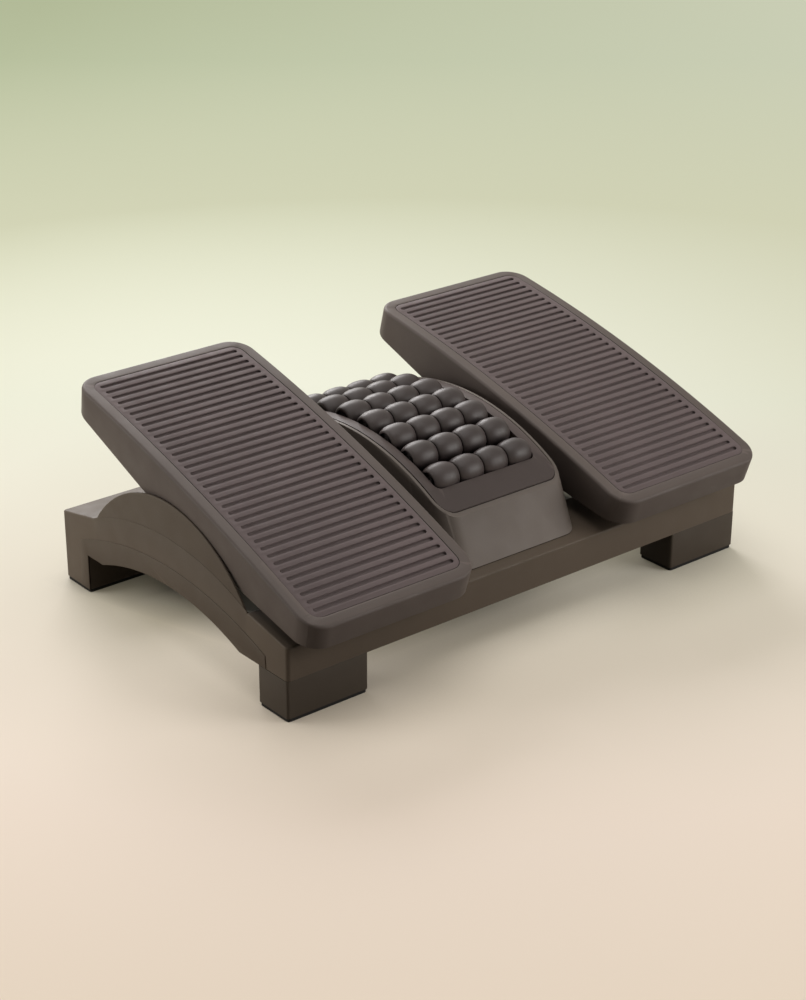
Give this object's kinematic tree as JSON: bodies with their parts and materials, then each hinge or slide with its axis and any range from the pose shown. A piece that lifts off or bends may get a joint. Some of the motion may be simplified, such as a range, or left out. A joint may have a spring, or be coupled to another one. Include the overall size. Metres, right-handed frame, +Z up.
{
  "type": "tilting under desk footrest",
  "caption": "Under desk footrest with a moulded base, ribbed rocker pedals that tilt on their own pivots, and free turning massage rollers in an arched housing between them",
  "frame": {"origin": "on the floor under the middle of the bounding box", "axes": "+X to the right as seen from the front, +Y to the rear, +Z up; the plain front face of the roller housing looks towards -Y"},
  "size_m": [0.441, 0.3134, 0.1704],
  "materials": {
    "shell_plastic": "fine matt grain, warm charcoal brown",
    "pedal_plastic": "fine matt grain, slightly lighter warm charcoal",
    "mat_rubber": "matt, soft touch, with cross grooves",
    "pad_rubber": "matt black",
    "roller_plastic": "satin dark grey",
    "steel": "zinc plated",
    "nylon": "natural nylon"
  },
  "bodies": {
    "base": {"base_frame": "shell_plastic", "front_foot_left": "shell_plastic", "front_foot_right": "shell_plastic", "floor_pad_front_left": "pad_rubber", "floor_pad_front_right": "pad_rubber", "floor_pad_rear_left": "pad_rubber", "floor_pad_rear_right": "pad_rubber", "roller_housing": "shell_plastic", "roller_cover_plate": "pedal_plastic", "axle_rail_left": "shell_plastic", "axle_rail_right": "shell_plastic", "roller_axle_1": "steel", "roller_axle_2": "steel", "roller_axle_3": "steel", "roller_axle_4": "steel", "roller_axle_5": "steel", "roller_axle_6": "steel", "roller_axle_7": "steel", "pivot_shaft_left": "steel", "pivot_shaft_right": "steel", "shaft_clip_left": "steel", "shaft_clip_right": "steel", "outer_friction_ring_left": "pad_rubber", "outer_friction_ring_right": "pad_rubber", "inner_friction_ring_left": "pad_rubber", "inner_friction_ring_right": "pad_rubber", "foot_screw_1": "steel", "foot_screw_2": "steel", "foot_screw_3": "steel", "foot_screw_4": "steel", "rail_screw_1": "steel", "rail_screw_2": "steel", "rail_screw_3": "steel", "rail_screw_4": "steel", "housing_screw_1": "steel", "housing_screw_2": "steel", "housing_screw_3": "steel", "housing_screw_4": "steel"},
    "pedal_left": {"pedal_shell_left": "pedal_plastic", "pedal_mat_left": "mat_rubber", "outer_bush_left": "nylon", "inner_bush_left": "nylon"},
    "pedal_right": {"pedal_shell_right": "pedal_plastic", "pedal_mat_right": "mat_rubber", "outer_bush_right": "nylon", "inner_bush_right": "nylon"},
    "roller_1": {"roller_1": "roller_plastic"},
    "roller_2": {"roller_2": "roller_plastic"},
    "roller_3": {"roller_3": "roller_plastic"},
    "roller_4": {"roller_4": "roller_plastic"},
    "roller_5": {"roller_5": "roller_plastic"},
    "roller_6": {"roller_6": "roller_plastic"},
    "roller_7": {"roller_7": "roller_plastic"}
  },
  "joints": [
    {"name": "pedal_left_tilt", "type": "hinge", "parent": "base", "child": "pedal_left", "pos_m": [-0.14, 0.01294, 0.062], "axis": [1, 0, 0], "range_deg": [-37.25, 2.75]},
    {"name": "pedal_right_tilt", "type": "hinge", "parent": "base", "child": "pedal_right", "pos_m": [0.14, 0.01294, 0.062], "axis": [1, 0, 0], "range_deg": [-34.5, 5.5]},
    {"name": "roller_1_spin", "type": "hinge", "parent": "base", "child": "roller_1", "pos_m": [0, -0.07073, 0.11074], "axis": [1, 0, 0], "continuous": true},
    {"name": "roller_2_spin", "type": "hinge", "parent": "base", "child": "roller_2", "pos_m": [0, -0.04633, 0.11968], "axis": [1, 0, 0], "continuous": true},
    {"name": "roller_3_spin", "type": "hinge", "parent": "base", "child": "roller_3", "pos_m": [0, -0.02101, 0.12551], "axis": [1, 0, 0], "continuous": true},
    {"name": "roller_4_spin", "type": "hinge", "parent": "base", "child": "roller_4", "pos_m": [0, 0.00484, 0.12814], "axis": [1, 0, 0], "continuous": true},
    {"name": "roller_5_spin", "type": "hinge", "parent": "base", "child": "roller_5", "pos_m": [0, 0.03081, 0.12753], "axis": [1, 0, 0], "continuous": true},
    {"name": "roller_6_spin", "type": "hinge", "parent": "base", "child": "roller_6", "pos_m": [0, 0.05651, 0.12369], "axis": [1, 0, 0], "continuous": true},
    {"name": "roller_7_spin", "type": "hinge", "parent": "base", "child": "roller_7", "pos_m": [0, 0.08153, 0.11667], "axis": [1, 0, 0], "continuous": true}
  ]
}
